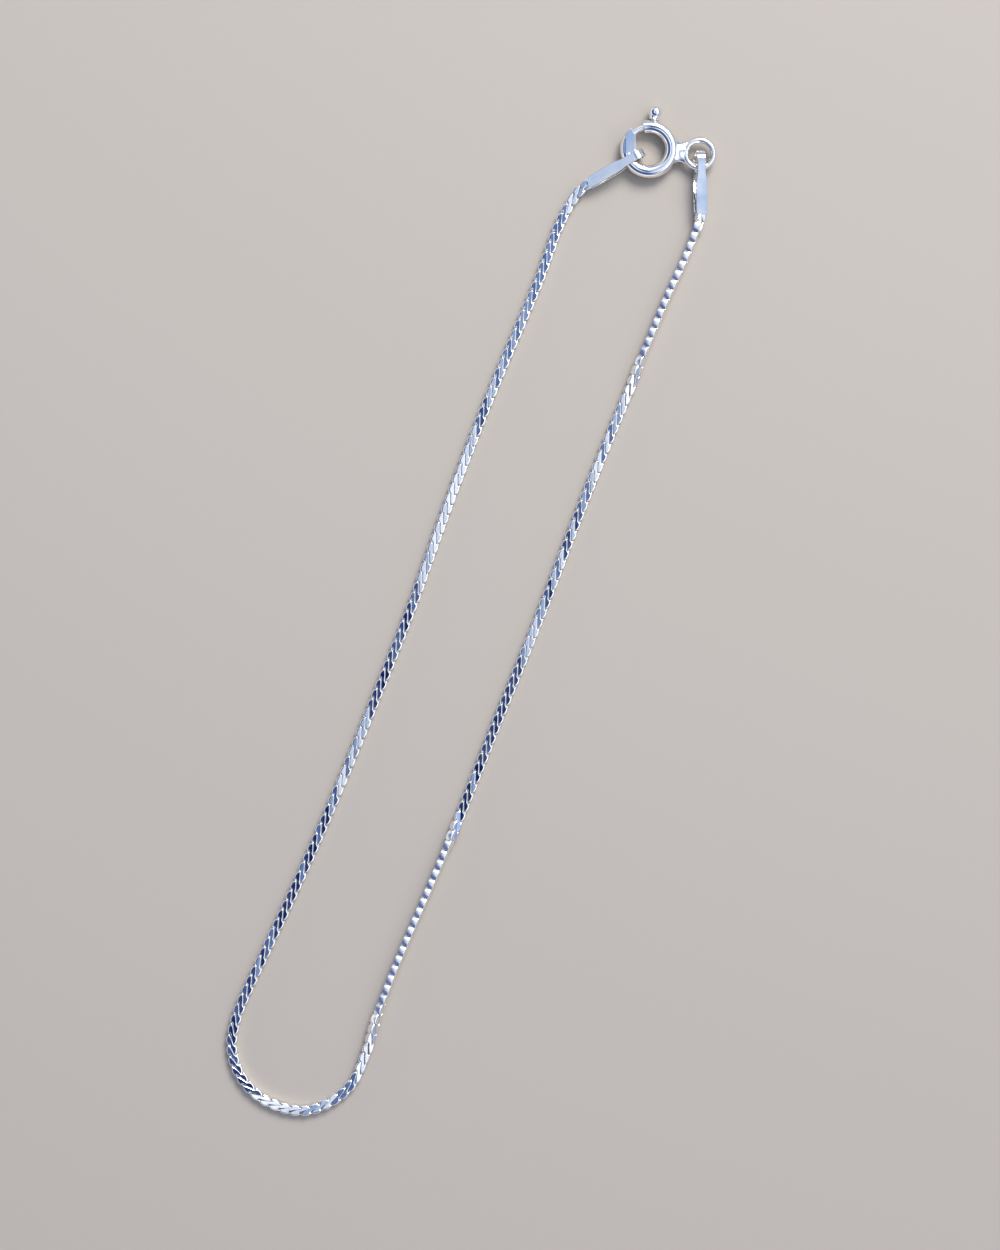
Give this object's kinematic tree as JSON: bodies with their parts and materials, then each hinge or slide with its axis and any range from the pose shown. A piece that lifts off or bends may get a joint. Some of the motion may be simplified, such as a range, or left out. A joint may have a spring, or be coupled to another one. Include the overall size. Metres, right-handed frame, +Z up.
{
  "type": "chain bracelet",
  "caption": "Closed serpentine chain bracelet of flat S-shaped links, fastened by a spring ring clasp with folded end tags.",
  "frame": {"origin": "centre of the bracelet's box, on the surface that it lies on", "axes": "+Y along the loop towards the clasp, +X across it towards the eyelet's side, +Z up"},
  "size_m": [0.0142, 0.0942, 0.0018],
  "materials": {
    "chain_silver": "polished",
    "clasp_silver": "polished",
    "tag_silver": "satin"
  },
  "bodies": {
    "bracelet": {"chain": "chain_silver", "clasp_ring": "clasp_silver", "tag_left": "tag_silver", "tag_right": "tag_silver"},
    "bolt": {"clasp_bolt": "clasp_silver"}
  },
  "joints": [
    {"name": "bolt_slide", "type": "hinge", "parent": "bracelet", "child": "bolt", "pos_m": [0.00017, 0.0434, 0.00082], "axis": [0, 0, -1], "range_deg": [0, 46], "stiffness_Nm_per_rad": 0.0016}
  ]
}
